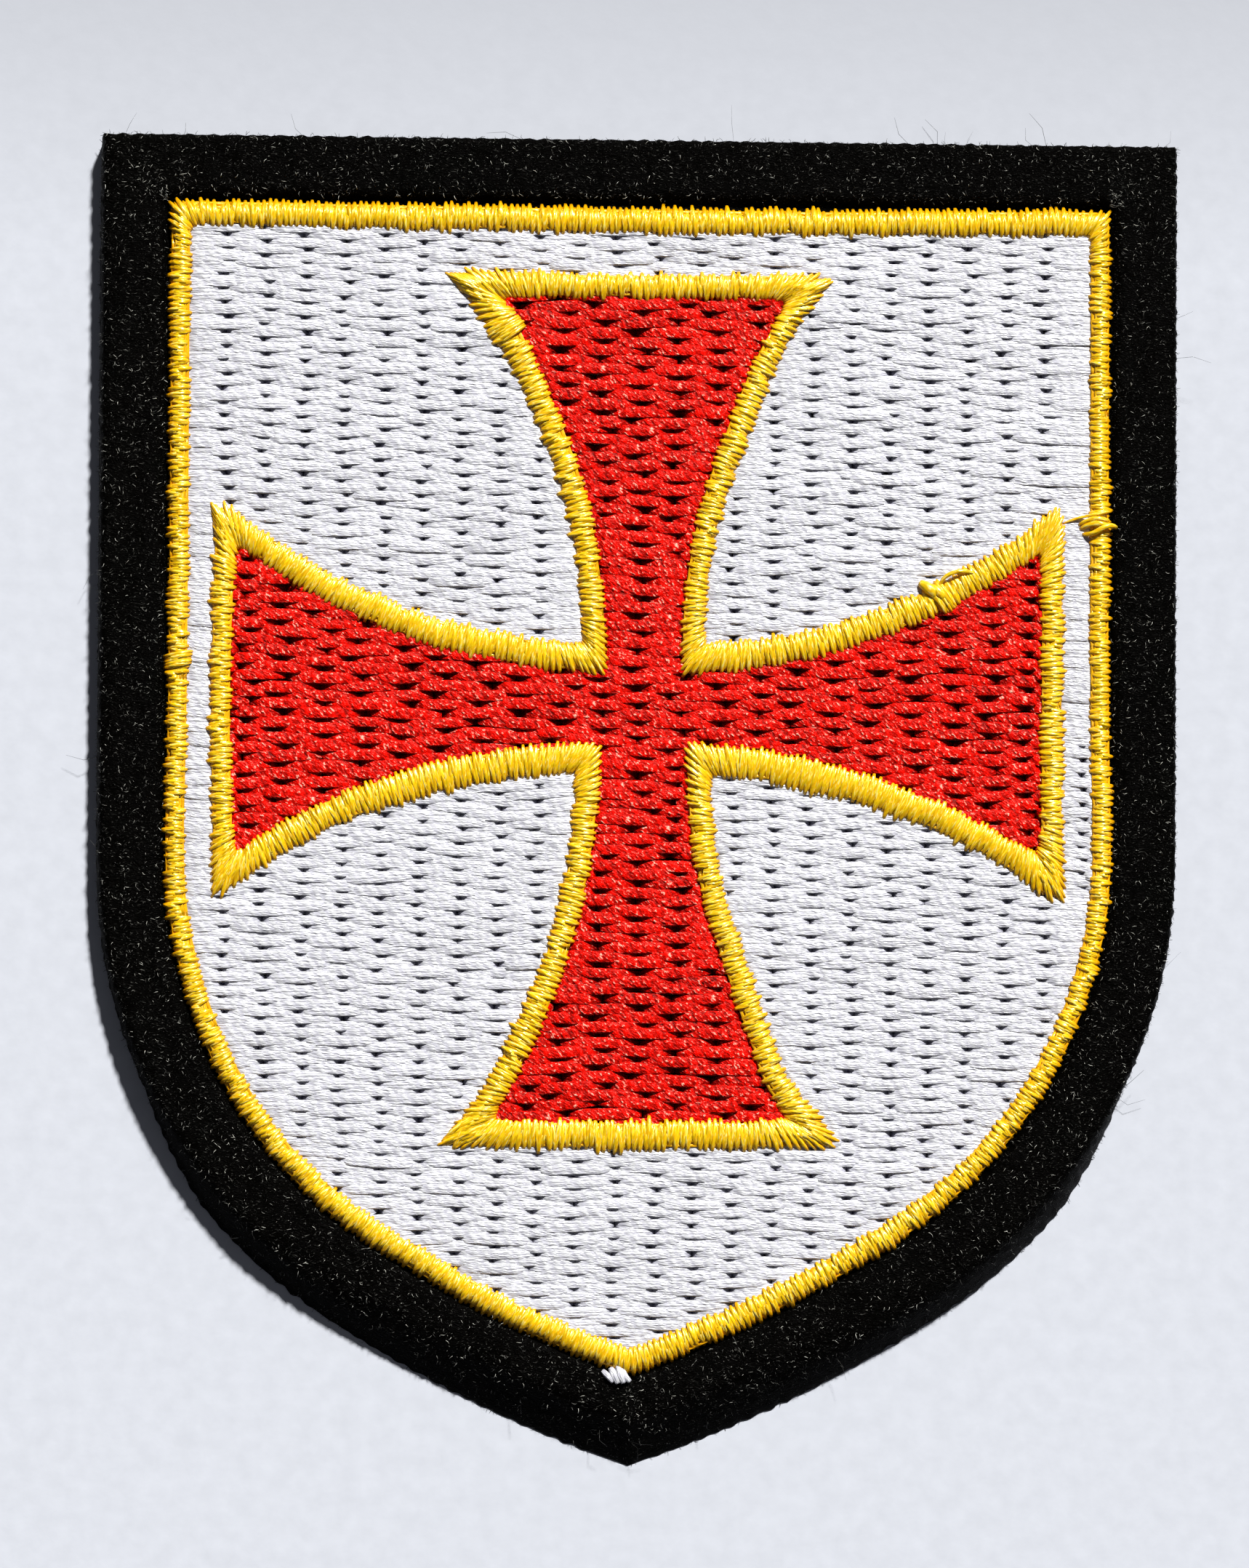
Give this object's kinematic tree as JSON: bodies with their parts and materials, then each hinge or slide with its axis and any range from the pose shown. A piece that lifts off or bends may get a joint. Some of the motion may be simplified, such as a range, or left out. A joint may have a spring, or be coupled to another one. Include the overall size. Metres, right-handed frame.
{
  "type": "embroidered patch",
  "caption": "Shield-shaped felt patch with a stitched field, a raised satin border and a flared cross in satin outline.",
  "frame": {"origin": "middle of the felt's flat back face, half way between its sides and between its top edge and its point", "axes": "+X to the right as one looks at the stitched face, +Y towards the shield's top edge, +Z out of the stitched face"},
  "size_m": [0.0604, 0.0732, 0.0026],
  "materials": {
    "felt": "black felt with fine glinting fibres",
    "white_thread": "glossy twisted embroidery thread",
    "gold_thread": "glossy twisted embroidery thread",
    "red_thread": "glossy twisted embroidery thread"
  },
  "bodies": {
    "root": {"felt_backing": "felt", "field_fill": "white_thread", "shield_border": "gold_thread", "cross_fill": "red_thread", "cross_outline": "gold_thread"}
  },
  "joints": []
}
